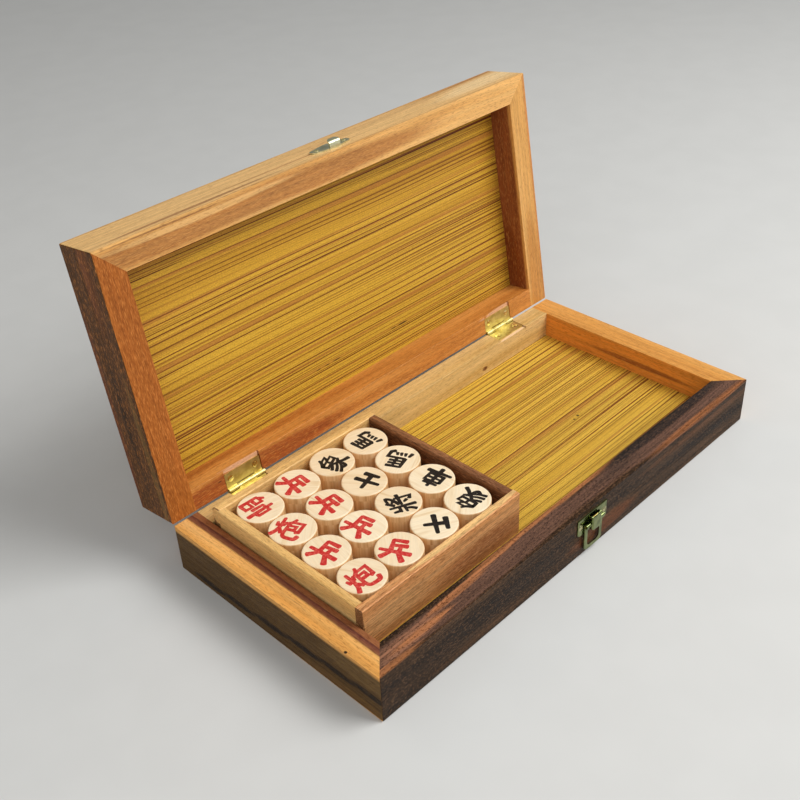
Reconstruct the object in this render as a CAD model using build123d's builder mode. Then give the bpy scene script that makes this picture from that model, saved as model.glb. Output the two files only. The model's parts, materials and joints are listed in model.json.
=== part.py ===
from build123d import *
import os
from math import cos, radians, sin

# Folding wooden case for a xiangqi set: two framed halves on brass butt hinges,
# a draw latch with its strike, a lift-out tray and a full set of thirty-two discs.
# Millimetres. X runs along the case, Y from the front to the hinges, Z up.
# The origin is the centre of the base's underside. The lid stands open.

# ---- Case -------------------------------------------------------------------
case_length = 300.0
finger_gap = 11.5
half_height = 28.4
rail_width = 14.8
back_rail_width = 12.0
recess_depth = 16.2
lining_thickness = 5.0
closed_gap = 0.5
open_angle = 98.8

outer_edge_round = 1.0
corner_round = 0.8
rim_ease = 0.15

# ---- Hinges -----------------------------------------------------------------
hinge_from_end = 47.3
hinge_length = 24.0
hinge_setback = 0.35
barrel_radius = 1.6
hinge_pin_radius = 0.8
middle_knuckle_length = 11.4
leaf_thickness = 0.8
leaf_length = 23.0
leaf_shift = -0.5
leaf_reach = 10.0
leaf_corner = 0.5
leaf_screw_spacing = 16.3
leaf_screw_reach = 6.4
kerf_width = 0.7
kerf_depth = 1.9
mortise_slack = 0.15
knuckle_gap = 0.25
knuckle_notch = 0.45
barrel_relief = 0.2
pin_play = 0.05
pin_end_chamfer = 0.2

# ---- Screws -----------------------------------------------------------------
screw_head_radius = 1.8
screw_shank_radius = 0.95
screw_point_length = 2.0
leaf_screw_length = 9.0
leaf_screw_head_gap = 0.1
plate_screw_length = 8.0
plate_screw_dome = 0.8
slot_width = 0.5
slot_depth = 0.35
slot_turn_start = 20
slot_turn_step = 47
latch_slot_turns = (38, 64)
strike_slot_turns = (75, 22)
screw_play = 0.03

# ---- Latch on the base's front rail -------------------------------------------
latch_from_centre = 0.5
plate_length = 24.0
plate_height = 10.5
plate_thickness = 0.7
plate_below_rim = 3.2
plate_top_corner = 0.8
plate_bottom_corner = 2.2
plate_chamfer = 0.2
plate_screw_spacing = 19.8
plate_screw_below_rim = 8.2

lever_width = 7.4
lever_wall = 0.6
lever_front = 3.7
lever_back = 0.95
lever_bottom_below_rim = 13.0
lever_bend = 0.9
lever_tip_round = 2.0
lever_shoulder = 0.9
lever_pivot_out = 2.3
lever_pivot_below_rim = 5.0
lug_thickness = 0.7
lug_eye_radius = 0.7
lug_root_height = 1.5
lug_root_drop = 1.15
lug_play = 0.15
latch_pin_radius = 0.5

ring_width = 14.8
ring_mouth_width = 8.0
ring_leg = 2.4
ring_bar = 2.4
ring_length = 16.6
ring_thickness = 0.8
ring_corner = 3.4
ring_slot_corner = 2.6
ring_eye_radius = 1.1
ring_pivot_out = 2.0
ring_pivot_below_rim = 8.7
ring_pin_overhang = 0.2
ring_edge_chamfer = 0.22

# ---- Strike on the lid's front rail -------------------------------------------
strike_from_centre = 1.2
strike_length = 26.6
strike_middle_half_width = 4.9
strike_middle_half_length = 6.0
strike_end_radius = 2.8
strike_thickness = 0.8
strike_from_rim = 8.6
strike_screw_spacing = 19.2
hook_width = 7.4
hook_gauge = 0.9
hook_from_rim = 3.8
hook_stem = 3.9
hook_projection = 4.6
hook_rise = 2.6
hook_bend = 1.3
hook_tip_round = 2.2

# ---- Tray -------------------------------------------------------------------
tray_wall = 4.6
tray_floor_thickness = 2.7
tray_side_gap = 1.1
tray_back_gap = 1.0
tray_rim_above_discs = 0.8
tray_edge_ease = 0.4
seat_gap = 0.05

# ---- Discs ------------------------------------------------------------------
disc_radius = 12.0
disc_height = 11.0
disc_edge_round = 0.8
disc_gap = 0.3
disc_left_gap = 0.4
disc_right_gap = 2.8
disc_back_gap = 0.3
disc_front_gap = 0.8
discs_per_row = 4

# ---- Derived sizes and places -------------------------------------------------
disc_pitch = 2 * disc_radius + disc_gap
disc_row = discs_per_row * disc_pitch - disc_gap
tray_length = 2 * tray_wall + disc_left_gap + disc_row + disc_right_gap
tray_depth = 2 * tray_wall + disc_back_gap + disc_row + disc_front_gap
tray_height = tray_floor_thickness + 2 * (seat_gap + disc_height) + tray_rim_above_discs
case_width = rail_width + finger_gap + tray_depth + tray_back_gap + back_rail_width
hinge_y = case_width / 2 + hinge_setback
hinge_z = half_height + closed_gap / 2
rim_level = -closed_gap / 2
leaf_screw_dome = (closed_gap - leaf_screw_head_gap) / 2
outer_level = rim_level - half_height
floor_level = rim_level - recess_depth
lining_underside = floor_level - lining_thickness
board_thickness = half_height - recess_depth - lining_thickness
front_reach = hinge_setback + case_width
hinge_centres = [side * (case_length / 2 - hinge_from_end) for side in (-1, 1)]
opened = radians(open_angle)

# Each half is drawn in its own frame: the origin on the hinge line, local Z out
# of the mating face, and depth counted from the hinge towards the front.
base_frame = Plane(origin=(0, hinge_y, hinge_z), x_dir=(1, 0, 0), z_dir=(0, 0, 1))
lid_frame = Plane(
    origin=(0, hinge_y, hinge_z),
    x_dir=(1, 0, 0),
    z_dir=(0, -sin(opened), -cos(opened)),
)
halves = [("base", base_frame, -1), ("lid", lid_frame, 1)]

# The front faces carry the latch and the strike. Local X runs along the case
# from the centre line of each, and local Y away from the rim on the lid.
latch_face = Plane(origin=(latch_from_centre, -case_width / 2, 0), x_dir=(1, 0, 0), z_dir=(0, -1, 0))
latch_side = Plane(origin=latch_face.origin, x_dir=(0, -1, 0), z_dir=(-1, 0, 0))
strike_origin = lid_frame.from_local_coords(Vector(strike_from_centre, front_reach, rim_level))
strike_face = Plane(origin=strike_origin, x_dir=(1, 0, 0), z_dir=lid_frame.y_dir)
strike_side = Plane(origin=strike_origin, x_dir=lid_frame.y_dir, z_dir=(-1, 0, 0))

os.makedirs("parts", exist_ok=True)


def save(built, name):
    """Label a finished piece and write it to its own file."""
    built.part.label = name
    export_step(built.part, f"parts/{name}.step")


def across(frame, forward, x, depth=0.0, height=0.0):
    """A plane square to the case's length, at a place in one half's frame."""
    place = frame.from_local_coords(Vector(x, forward * depth, height))
    return Plane(origin=place, x_dir=frame.y_dir * forward, z_dir=(1, 0, 0))


def bar_along(plane, radius, length, mode=Mode.ADD):
    """A round bar along the case, centred on the plane's origin."""
    with BuildSketch(plane) as section:
        Circle(radius)
    extrude(section.sketch, amount=length / 2, both=True, mode=mode)


def block(plane, x_span, y_span, amount, mode=Mode.ADD):
    """A rectangular block that stands on a plane."""
    with BuildSketch(plane) as footprint:
        with Locations(((x_span[0] + x_span[1]) / 2, (y_span[0] + y_span[1]) / 2)):
            Rectangle(abs(x_span[1] - x_span[0]), abs(y_span[1] - y_span[0]))
    extrude(footprint.sketch, amount=amount, mode=mode)


# ---- Screws -----------------------------------------------------------------
def screw_seats_on_leaf(frame, forward, centre):
    """The planes at the two screw seats of one hinge leaf."""
    seats = []
    for side in (-1, 1):
        x = centre + leaf_shift + side * leaf_screw_spacing / 2
        place = frame.from_local_coords(Vector(x, forward * leaf_screw_reach, rim_level))
        seats.append(Plane(origin=place, x_dir=frame.x_dir, z_dir=frame.z_dir))
    return seats


def screw_seats_on_plate(face, spacing, height, thickness):
    """The planes at the two screw seats of the latch plate or the strike."""
    seats = []
    for side in (-1, 1):
        place = face.from_local_coords(Vector(side * spacing / 2, height, thickness))
        seats.append(Plane(origin=place, x_dir=face.x_dir, z_dir=face.z_dir))
    return seats


def seat_profile(seat):
    """A plane through a screw's axis, with local Y along the axis."""
    return Plane(origin=seat.origin, x_dir=seat.x_dir, z_dir=-seat.y_dir)


def add_screw(seat, length, dome, thickness, turn):
    """A countersunk wood screw with a slot, its head's rim in the seat plane."""
    with BuildSketch(seat_profile(seat)) as half_section:
        with BuildLine():
            TangentArc((0, dome), (screw_head_radius, 0), tangent=(1, 0))
            Polyline(
                (screw_head_radius, 0),
                (screw_shank_radius, -thickness),
                (screw_shank_radius, screw_point_length - length),
                (0, -length),
                (0, dome),
            )
        make_face()
    revolve(half_section.sketch, axis=Axis(seat.origin, seat.z_dir))
    with BuildSketch(seat.offset(dome)) as slot:
        with Locations(Rotation(0, 0, turn)):
            Rectangle(3 * screw_head_radius, slot_width)
    extrude(slot.sketch, amount=-slot_depth, mode=Mode.SUBTRACT)


def cut_countersink(seat, thickness):
    """The tapered screw hole through a leaf or a plate."""
    with BuildSketch(seat_profile(seat)) as half_section:
        with BuildLine():
            Polyline(
                (0, thickness),
                (screw_head_radius + screw_play, thickness),
                (screw_head_radius + screw_play, 0),
                (screw_shank_radius + screw_play, -thickness),
                (screw_shank_radius + screw_play, -2 * thickness),
                (0, -2 * thickness),
                close=True,
            )
        make_face()
    revolve(half_section.sketch, axis=Axis(seat.origin, seat.z_dir), mode=Mode.SUBTRACT)


def cut_pilot(seat, length):
    """The hole that a screw fills in the wood."""
    with BuildSketch(seat) as bore:
        Circle(screw_shank_radius + screw_play)
    extrude(bore.sketch, amount=-length - screw_play, mode=Mode.SUBTRACT)


latch_seats = screw_seats_on_plate(
    latch_face, plate_screw_spacing, half_height - plate_screw_below_rim, plate_thickness
)
strike_seats = screw_seats_on_plate(strike_face, strike_screw_spacing, strike_from_rim, strike_thickness)


# ---- Case rails and panels ----------------------------------------------------
def add_case_frame(frame, forward):
    """The four rails of one half as one eased ring, to be cut into rails."""
    normal = Axis(frame.origin, frame.z_dir)
    middle = forward * (hinge_setback + case_width / 2)
    outer = frame.offset(outer_level)
    with BuildSketch(outer) as footprint:
        with Locations((0, middle)):
            Rectangle(case_length, case_width)
    ring = extrude(footprint.sketch, amount=half_height)
    fillet(ring.edges().filter_by(normal), corner_round)
    outside = faces().sort_by(normal)[0]
    fillet(outside.edges(), outer_edge_round)
    inner_x = case_length / 2 - rail_width
    depths = (hinge_setback + back_rail_width, front_reach - rail_width)
    block(outer, (-inner_x, inner_x), [forward * depth for depth in depths], half_height, Mode.SUBTRACT)
    rim = faces().sort_by(normal)[-1]
    chamfer(rim.edges(), rim_ease)


def rail_outlines(forward):
    """Footprints of the four rails: mitred in front, butted at the back."""
    end = case_length / 2
    inner = end - rail_width
    back = hinge_setback
    inner_back = back + back_rail_width
    inner_front = front_reach - rail_width
    outlines = {
        "front": [(-end, front_reach), (end, front_reach), (inner, inner_front), (-inner, inner_front)],
        "left": [(-end, front_reach), (-inner, inner_front), (-inner, back), (-end, back)],
        "right": [(end, front_reach), (inner, inner_front), (inner, back), (end, back)],
        "back": [(-inner, back), (inner, back), (inner, inner_back), (-inner, inner_back)],
    }
    return {side: [(x, forward * depth) for x, depth in corners] for side, corners in outlines.items()}


def cut_hinge_mortises(frame, forward):
    """Full-width dadoes for the leaves, each with the saw's deeper last cut."""
    rim = frame.offset(rim_level)
    depths = (0, forward * (hinge_setback + back_rail_width))
    for centre in hinge_centres:
        left = centre + leaf_shift - leaf_length / 2 - mortise_slack
        right = centre + leaf_shift + leaf_length / 2 + kerf_width
        block(rim, (left, right), depths, -leaf_thickness, Mode.SUBTRACT)
        block(rim, (right - kerf_width, right), depths, -kerf_depth, Mode.SUBTRACT)
        relief = across(frame, forward, centre)
        bar_along(relief, barrel_radius + barrel_relief, hinge_length + 2 * mortise_slack, Mode.SUBTRACT)
        for seat in screw_seats_on_leaf(frame, forward, centre):
            cut_pilot(seat, leaf_screw_length)


front_pilots = {"base": latch_seats, "lid": strike_seats}

for half, frame, forward in halves:
    for side, corners in rail_outlines(forward).items():
        with BuildPart() as rail:
            add_case_frame(frame, forward)
            with BuildSketch(frame.offset(outer_level)):
                with BuildLine():
                    Polyline(*corners, close=True)
                make_face()
            extrude(amount=half_height, mode=Mode.INTERSECT)
            if side == "back":
                cut_hinge_mortises(frame, forward)
            if side == "front":
                for seat in front_pilots[half]:
                    cut_pilot(seat, plate_screw_length)
        save(rail, f"{half}_rail_{side}")

    panel_x = case_length / 2 - rail_width
    panel_y = [
        forward * (hinge_setback + back_rail_width),
        forward * (front_reach - rail_width),
    ]
    with BuildPart() as lining:
        block(frame.offset(lining_underside), (-panel_x, panel_x), panel_y, lining_thickness)
    save(lining, f"{half}_lining")

    with BuildPart() as board:
        block(frame.offset(outer_level), (-panel_x, panel_x), panel_y, board_thickness)
    save(board, f"{half}_board")


# ---- Hinges -----------------------------------------------------------------
outer_knuckle_length = (hinge_length - middle_knuckle_length) / 2
outer_knuckle_shift = (middle_knuckle_length + outer_knuckle_length) / 2
middle_knuckle = [(0.0, middle_knuckle_length)]
outer_knuckles = [(side * outer_knuckle_shift, outer_knuckle_length) for side in (-1, 1)]
knuckle_places = {"base": (middle_knuckle, outer_knuckles), "lid": (outer_knuckles, middle_knuckle)}

for hand, centre in zip(("left", "right"), hinge_centres):
    for half, frame, forward in halves:
        own, others = knuckle_places[half]
        with BuildPart() as leaf:
            with BuildSketch(frame.offset(rim_level - leaf_thickness)):
                with Locations((centre + leaf_shift, forward * leaf_reach / 2)):
                    RectangleRounded(leaf_length, leaf_reach, leaf_corner)
            extrude(amount=leaf_thickness)
            for shift, length in others:
                notch = across(frame, forward, centre + shift)
                bar_along(notch, barrel_radius + knuckle_notch, length + knuckle_gap, Mode.SUBTRACT)
            for shift, length in own:
                bar_along(across(frame, forward, centre + shift), barrel_radius, length - knuckle_gap)
            bar_along(
                across(frame, forward, centre), hinge_pin_radius + pin_play, 2 * hinge_length, Mode.SUBTRACT
            )
            for seat in screw_seats_on_leaf(frame, forward, centre):
                cut_countersink(seat, leaf_thickness)
        save(leaf, f"hinge_{hand}_{half}_leaf")

    with BuildPart() as pin:
        bar_along(across(base_frame, -1, centre), hinge_pin_radius, hinge_length)
        chamfer(pin.edges().filter_by(GeomType.CIRCLE), pin_end_chamfer)
    save(pin, f"hinge_{hand}_pin")

for half, frame, forward in halves:
    with BuildPart() as screws:
        turn = slot_turn_start
        for centre in hinge_centres:
            for seat in screw_seats_on_leaf(frame, forward, centre):
                add_screw(seat, leaf_screw_length, leaf_screw_dome, leaf_thickness, turn)
                turn += slot_turn_step
    save(screws, f"hinge_screws_{half}")


# ---- Latch ------------------------------------------------------------------
plate_top = half_height - plate_below_rim
lever_pivot = (lever_pivot_out, half_height - lever_pivot_below_rim)
ring_pivot = (ring_pivot_out, half_height - ring_pivot_below_rim)
lug_centre = lever_width / 2 - lever_wall - lug_play - lug_thickness / 2


def latch_cross(point):
    """A plane square to the latch's pins, at a point of its side view."""
    return Plane(
        origin=latch_side.from_local_coords(Vector(point[0], point[1], 0)),
        x_dir=latch_side.x_dir,
        z_dir=latch_side.z_dir,
    )


with BuildPart() as latch_plate:
    with BuildSketch(latch_face):
        with Locations((0, plate_top - plate_height / 2)):
            Rectangle(plate_length, plate_height)
        corners = vertices().group_by(Axis.Y)
        fillet(corners[0], plate_bottom_corner)
        fillet(corners[-1], plate_top_corner)
    extrude(amount=plate_thickness)
    chamfer(faces().sort_by(Axis.Y)[0].edges(), plate_chamfer)
    for hand in (-1, 1):
        with BuildSketch(latch_side.offset(hand * lug_centre)):
            with Locations(lever_pivot):
                Circle(lug_eye_radius)
            with Locations((plate_thickness / 2, lever_pivot[1] - lug_root_drop)):
                Rectangle(plate_thickness, lug_root_height)
            make_hull()
        extrude(amount=lug_thickness / 2, both=True)
    bar_along(latch_cross(lever_pivot), latch_pin_radius + screw_play, lever_width, Mode.SUBTRACT)
    for seat in latch_seats:
        cut_countersink(seat, plate_thickness)
save(latch_plate, "latch_plate")

with BuildPart() as latch_screws:
    for seat, turn in zip(latch_seats, latch_slot_turns):
        add_screw(seat, plate_screw_length, plate_screw_dome, plate_thickness, turn)
save(latch_screws, "latch_screws")

with BuildPart() as lever:
    lever_bottom = half_height - lever_bottom_below_rim
    lever_top = lever_pivot[1] + lever_shoulder
    with BuildSketch(latch_side):
        with Locations(((lever_back + lever_front) / 2, (lever_bottom + lever_pivot[1]) / 2)):
            Rectangle(lever_front - lever_back, lever_pivot[1] - lever_bottom)
        with Locations(lever_pivot):
            Circle(lever_pivot_out - lever_back)
        with Locations(((lever_pivot_out + lever_front) / 2, (lever_pivot[1] + lever_top) / 2)):
            Rectangle(lever_front - lever_pivot_out, lever_top - lever_pivot[1])
    extrude(amount=lever_width / 2, both=True)
    fillet(edges().filter_by(Axis.Y).group_by(Axis.Z)[0], lever_tip_round)
    fillet(edges().filter_by(Axis.Z).group_by(Axis.Y)[0], lever_bend)
    hollow = lever_width / 2 - lever_wall
    with BuildSketch(latch_face):
        with Locations((0, (lever_bottom + lever_pivot[1]) / 2)):
            Rectangle(2 * hollow, 2 * half_height)
    extrude(amount=lever_front - lever_wall, mode=Mode.SUBTRACT)
    bar_along(latch_cross(lever_pivot), latch_pin_radius + pin_play, 2 * lever_width, Mode.SUBTRACT)
    bar_along(latch_cross(ring_pivot), latch_pin_radius + screw_play, 2 * lever_width, Mode.SUBTRACT)
save(lever, "latch_lever")

with BuildPart() as lever_pin:
    bar_along(latch_cross(lever_pivot), latch_pin_radius, lever_width)
save(lever_pin, "latch_lever_pin")

with BuildPart() as ring:
    ring_back = ring_pivot_out - ring_eye_radius
    ring_bottom = ring_pivot[1] - ring_length
    slot_bottom = ring_bottom + ring_bar
    with BuildSketch(latch_face.offset(ring_back)):
        with Locations((0, (ring_pivot[1] + ring_bottom) / 2)):
            Rectangle(ring_width, ring_length)
        fillet(vertices().group_by(Axis.Y)[0], ring_corner)
    extrude(amount=ring_thickness)
    chamfer(faces().sort_by(Axis.Y)[0].edges().filter_by(Axis.X, reverse=True), ring_edge_chamfer)
    with BuildSketch(latch_face):
        with Locations((0, (ring_pivot[1] + slot_bottom) / 2 + ring_eye_radius)):
            Rectangle(ring_width - 2 * ring_leg, ring_pivot[1] - slot_bottom + 2 * ring_eye_radius)
        fillet(vertices().group_by(Axis.Y)[0], ring_slot_corner)
    extrude(amount=2 * ring_pivot_out, mode=Mode.SUBTRACT)
    eye_length = (ring_width - ring_mouth_width) / 2
    for hand in (-1, 1):
        with BuildSketch(latch_side.offset(hand * (ring_mouth_width + eye_length) / 2)):
            with Locations(ring_pivot):
                Circle(ring_eye_radius)
        extrude(amount=eye_length / 2, both=True)
    bar_along(latch_cross(ring_pivot), latch_pin_radius + pin_play, 2 * ring_width, Mode.SUBTRACT)
save(ring, "latch_ring")

with BuildPart() as ring_pin:
    bar_along(latch_cross(ring_pivot), latch_pin_radius, ring_width + 2 * ring_pin_overhang)
save(ring_pin, "latch_ring_pin")


# ---- Strike -----------------------------------------------------------------
with BuildPart() as strike:
    with BuildSketch(strike_face):
        with Locations((0, strike_from_rim)):
            Ellipse(strike_middle_half_length, strike_middle_half_width)
        end = strike_length / 2 - strike_end_radius
        with Locations((-end, strike_from_rim), (end, strike_from_rim)):
            Circle(strike_end_radius)
        make_hull()
    extrude(amount=strike_thickness)
    hook_centre = hook_from_rim + hook_gauge / 2
    with BuildSketch(strike_side):
        with BuildLine():
            FilletPolyline(
                (0, hook_centre),
                (hook_stem, hook_centre),
                (hook_projection, hook_centre + hook_rise),
                radius=hook_bend,
            )
        trace(line_width=hook_gauge)
    extrude(amount=hook_width / 2, both=True)
    short_edges = edges().filter_by(lambda edge: abs(edge.length - hook_gauge) < screw_play)
    tip_corners = short_edges.sort_by(Axis(strike_origin, -strike_side.y_dir))[:2]
    fillet(tip_corners, hook_tip_round)
    for seat in strike_seats:
        cut_countersink(seat, strike_thickness)
save(strike, "strike_plate")

with BuildPart() as strike_screws:
    for seat, turn in zip(strike_seats, strike_slot_turns):
        add_screw(seat, plate_screw_length, plate_screw_dome, strike_thickness, turn)
save(strike_screws, "strike_screws")


# ---- Tray -------------------------------------------------------------------
case_floor = half_height - recess_depth
tray_bottom = case_floor + seat_gap
tray_left = -case_length / 2 + rail_width + tray_side_gap
tray_right = tray_left + tray_length
tray_back = case_width / 2 - back_rail_width - tray_back_gap
tray_front = tray_back - tray_depth
tray_inside_x = (tray_left + tray_wall, tray_right - tray_wall)
tray_inside_y = (tray_front + tray_wall, tray_back - tray_wall)
tray_walls = {
    "front": ((tray_left, tray_right), (tray_front, tray_inside_y[0])),
    "back": ((tray_left, tray_right), (tray_inside_y[1], tray_back)),
    "left": ((tray_left, tray_inside_x[0]), tray_inside_y),
    "right": ((tray_inside_x[1], tray_right), tray_inside_y),
}

for side, (x_span, y_span) in tray_walls.items():
    with BuildPart() as wall:
        block(Plane.XY.offset(tray_bottom), x_span, y_span, tray_height)
        top = faces().sort_by(Axis.Z)[-1]
        along = Axis.X if side in ("front", "back") else Axis.Y
        chamfer(top.edges().filter_by(along), tray_edge_ease)
    save(wall, f"tray_wall_{side}")

with BuildPart() as tray_floor:
    block(Plane.XY.offset(tray_bottom), tray_inside_x, tray_inside_y, tray_floor_thickness)
save(tray_floor, "tray_floor")


# ---- Discs ------------------------------------------------------------------
lower_disc_bottom = tray_bottom + tray_floor_thickness + seat_gap
upper_disc_bottom = lower_disc_bottom + disc_height + seat_gap
first_disc_x = tray_inside_x[0] + disc_left_gap + disc_radius
last_disc_y = tray_inside_y[1] - disc_back_gap - disc_radius


def disc_place(column, row):
    """The centre of a disc: column from the left, row from the back."""
    return (first_disc_x + column * disc_pitch, last_disc_y - row * disc_pitch)


def add_disc(place, bottom):
    """One wooden disc with both rims rounded."""
    with BuildSketch(Plane.XY.offset(bottom)) as outline:
        with Locations(place):
            Circle(disc_radius)
    disc = extrude(outline.sketch, amount=disc_height)
    fillet(disc.edges().filter_by(GeomType.CIRCLE), disc_edge_round)


upper_discs = [
    ["general_red", "cannon_red_1", "soldier_red_1", "cannon_red_2"],
    ["soldier_red_2", "soldier_red_3", "soldier_red_4", "soldier_red_5"],
    ["elephant_black_1", "advisor_black_1", "general_black", "advisor_black_2"],
    ["horse_black_1", "horse_black_2", "chariot_black", "elephant_black_2"],
]
lower_columns = [
    "lower_advisors_elephants_red",
    "lower_horses_chariots_red",
    "lower_soldiers_black",
    "lower_mixed_black",
]

for column, names in enumerate(upper_discs):
    for row, name in enumerate(names):
        with BuildPart() as disc_part:
            add_disc(disc_place(column, row), upper_disc_bottom)
        save(disc_part, name)

for column, name in enumerate(lower_columns):
    with BuildPart() as column_part:
        for row in range(discs_per_row):
            add_disc(disc_place(column, row), lower_disc_bottom)
    save(column_part, name)
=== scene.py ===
import json
from math import cos, pi, radians, sin

import bpy
from mathutils import Matrix, Vector


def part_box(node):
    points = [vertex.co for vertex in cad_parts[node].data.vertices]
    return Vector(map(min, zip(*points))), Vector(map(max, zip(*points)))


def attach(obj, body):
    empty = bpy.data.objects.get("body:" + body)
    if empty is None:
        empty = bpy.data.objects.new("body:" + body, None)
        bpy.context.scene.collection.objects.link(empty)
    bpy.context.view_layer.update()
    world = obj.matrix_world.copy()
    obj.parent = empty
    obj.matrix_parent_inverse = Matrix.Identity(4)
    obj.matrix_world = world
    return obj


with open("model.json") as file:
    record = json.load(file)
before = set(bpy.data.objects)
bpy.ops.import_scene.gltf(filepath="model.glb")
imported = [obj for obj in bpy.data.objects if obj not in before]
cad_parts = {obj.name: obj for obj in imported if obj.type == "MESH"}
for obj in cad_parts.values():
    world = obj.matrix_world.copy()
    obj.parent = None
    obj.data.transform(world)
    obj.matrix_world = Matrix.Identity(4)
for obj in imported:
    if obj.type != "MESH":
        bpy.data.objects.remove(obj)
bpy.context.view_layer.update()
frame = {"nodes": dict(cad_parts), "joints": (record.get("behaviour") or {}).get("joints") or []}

# A wooden xiangqi box, open, with its tray, discs, hinges and latch. Every shape of it but the
# painted marks is a CAD node. This file adds those marks, the materials, the camera, the floor
# and the light.
MM = 0.001

# ---- Camera -------------------------------------------------------------------
CAMERA_AT = Vector((-0.3592, -0.3113, 0.3909))
CAMERA_AZIMUTH = radians(43.99)
CAMERA_ELEVATION = radians(34.75)
CAMERA_ROLL = radians(-2.99)
CLIP_START = 0.01
FOCAL_PIXELS = 1103.4
IMAGE_PIXELS = 800.0

ahead = Vector((
    sin(CAMERA_AZIMUTH) * cos(CAMERA_ELEVATION),
    cos(CAMERA_AZIMUTH) * cos(CAMERA_ELEVATION),
    -sin(CAMERA_ELEVATION),
))
level_right = Vector((cos(CAMERA_AZIMUTH), -sin(CAMERA_AZIMUTH), 0))
level_up = level_right.cross(ahead)
right = level_right * cos(CAMERA_ROLL) + level_up * sin(CAMERA_ROLL)
up = level_up * cos(CAMERA_ROLL) - level_right * sin(CAMERA_ROLL)

camera = bpy.data.objects.new("camera", bpy.data.cameras.new("camera"))
bpy.context.scene.collection.objects.link(camera)
camera.data.lens = FOCAL_PIXELS / IMAGE_PIXELS * camera.data.sensor_width
camera.data.clip_start = CLIP_START
camera.matrix_world = Matrix.Translation(CAMERA_AT) @ Matrix((right, up, -ahead)).transposed().to_4x4()
bpy.context.scene.camera = camera

# ---- Shader helpers -------------------------------------------------------------
# Noise lies mostly between these two values.
NOISE_LOW = 0.3
NOISE_HIGH = 0.7


def tone(red, green, blue):
    """A display colour, 0 to 255, as the linear colour that a shader takes."""
    linear = []
    for value in (red, green, blue):
        value /= 255
        linear.append(value / 12.92 if value <= 0.04045 else ((value + 0.055) / 1.055) ** 2.4)
    return (*linear, 1)


def add(tree, kind, inputs=None, **settings):
    """A node with its settings, and its inputs given as values or as sockets to join."""
    node = tree.nodes.new(kind)
    for name, value in settings.items():
        setattr(node, name, value)
    for name, value in (inputs or {}).items():
        if isinstance(value, bpy.types.NodeSocket):
            tree.links.new(value, node.inputs[name])
        else:
            node.inputs[name].default_value = value
    return node


def coordinates(tree, kind="Object"):
    """Texture coordinates; those of the object are its place at rest, in metres."""
    return add(tree, "ShaderNodeTexCoord").outputs[kind]


def axes(tree, vector):
    """The X, Y and Z of a vector, by name."""
    return add(tree, "ShaderNodeSeparateXYZ", {0: vector}).outputs


def calc(tree, operation, first, second=0.0):
    return add(tree, "ShaderNodeMath", {0: first, 1: second}, operation=operation).outputs[0]


def times(tree, first, second):
    return calc(tree, "MULTIPLY", first, second)


def vector_calc(tree, operation, first, second=(0.0, 0.0, 0.0)):
    return add(tree, "ShaderNodeVectorMath", {0: first, 1: second}, operation=operation).outputs[0]


def fade(tree, value, low, high, result_low=0.0, result_high=1.0):
    """A smooth step from one result to the other as the value goes from low to high."""
    spread = add(
        tree, "ShaderNodeMapRange",
        {"Value": value, "From Min": low, "From Max": high, "To Min": result_low, "To Max": result_high},
        interpolation_type="SMOOTHSTEP",
    )
    return spread.outputs["Result"]


def vary(tree, noise_value, result_low, result_high):
    """A result that follows a noise from one end of its usual range to the other."""
    return fade(tree, noise_value, NOISE_LOW, NOISE_HIGH, result_low, result_high)


def noise(tree, vector, scale, detail=3.0, roughness=0.5, distortion=0.0, output="Fac"):
    """Noise with its own scale, per metre, along each axis of the vector."""
    sized = vector_calc(tree, "MULTIPLY", vector, scale)
    texture = add(
        tree, "ShaderNodeTexNoise",
        {"Vector": sized, "Scale": 1.0, "Detail": detail, "Roughness": roughness, "Distortion": distortion},
    )
    return texture.outputs[output]


def ramp(tree, value, stops):
    """A colour ramp with any number of (place, colour) stops."""
    node = add(tree, "ShaderNodeValToRGB", {"Fac": value})
    elements = node.color_ramp.elements
    while len(elements) < len(stops):
        elements.new(0.5)
    for element, (place, colour) in zip(elements, stops):
        element.position = place
        element.color = colour
    return node.outputs["Color"]


def blend(tree, share, first, second, mode="MIX"):
    """One colour laid over another by a share."""
    inputs = {0: share, 6: first, 7: second}
    return add(tree, "ShaderNodeMix", inputs, data_type="RGBA", blend_type=mode).outputs[2]


def brighten(tree, colour, factor):
    """A colour with all three of its channels multiplied by one factor."""
    grey = add(tree, "ShaderNodeCombineColor", {0: factor, 1: factor, 2: factor}).outputs[0]
    return blend(tree, 1.0, colour, grey, "MULTIPLY")


def patch(tree, vector, centre, size, softness):
    """A soft oval mask round a place, with its half sizes, both in metres."""
    moved = vector_calc(tree, "SUBTRACT", vector, centre)
    sized = vector_calc(tree, "DIVIDE", moved, size)
    length = add(tree, "ShaderNodeVectorMath", {0: sized}, operation="LENGTH")
    return fade(tree, length.outputs["Value"], 1.0, 1.0 - softness)


def new_material(name):
    material = bpy.data.materials.new(name)
    material.use_nodes = True
    material.node_tree.nodes.clear()
    return material, material.node_tree


def finish_surface(tree, colour, roughness, bump=None, bump_distance=0.0, **more):
    """The surface shader and its output; more inputs are named with _ for each space."""
    surface = add(tree, "ShaderNodeBsdfPrincipled", {"Base Color": colour, "Roughness": roughness})
    for name, value in more.items():
        surface.inputs[name.replace("_", " ")].default_value = value
    if bump is not None:
        relief = add(tree, "ShaderNodeBump", {"Height": bump, "Distance": bump_distance, "Strength": 1.0})
        tree.links.new(relief.outputs["Normal"], surface.inputs["Normal"])
    add(tree, "ShaderNodeOutputMaterial", {"Surface": surface.outputs["BSDF"]})


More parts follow.
